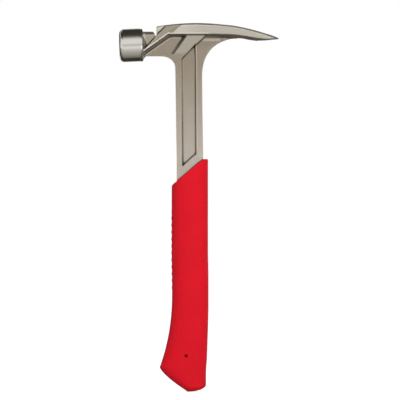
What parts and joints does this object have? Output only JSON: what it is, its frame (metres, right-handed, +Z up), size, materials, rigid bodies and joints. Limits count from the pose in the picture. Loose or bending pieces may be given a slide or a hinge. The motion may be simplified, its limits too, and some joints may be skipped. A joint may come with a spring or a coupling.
{
  "type": "straight claw hammer",
  "caption": "One-piece forged straight claw hammer with an I-section shank, a magnetic nail starter behind the poll and a hooked red soft grip with a slanted collar.",
  "frame": {"origin": "on the handle's axis in the middle of the hand, 100 mm above the lowest point of the butt", "axes": "+Z up the handle to the head, +X towards the claw, -X towards the striking face, Y across the thickness"},
  "size_m": [0.1506, 0.031, 0.3455],
  "materials": {
    "forged_steel": "blasted forging with ground bar and claw, polished poll",
    "magnet": "nickel plated",
    "core_plastic": "as moulded",
    "soft_red": "satin, finely textured"
  },
  "bodies": {
    "root": {"forged_body": "forged_steel", "nail_magnet": "magnet", "grip_core": "core_plastic", "grip_skin": "soft_red"}
  },
  "joints": []
}
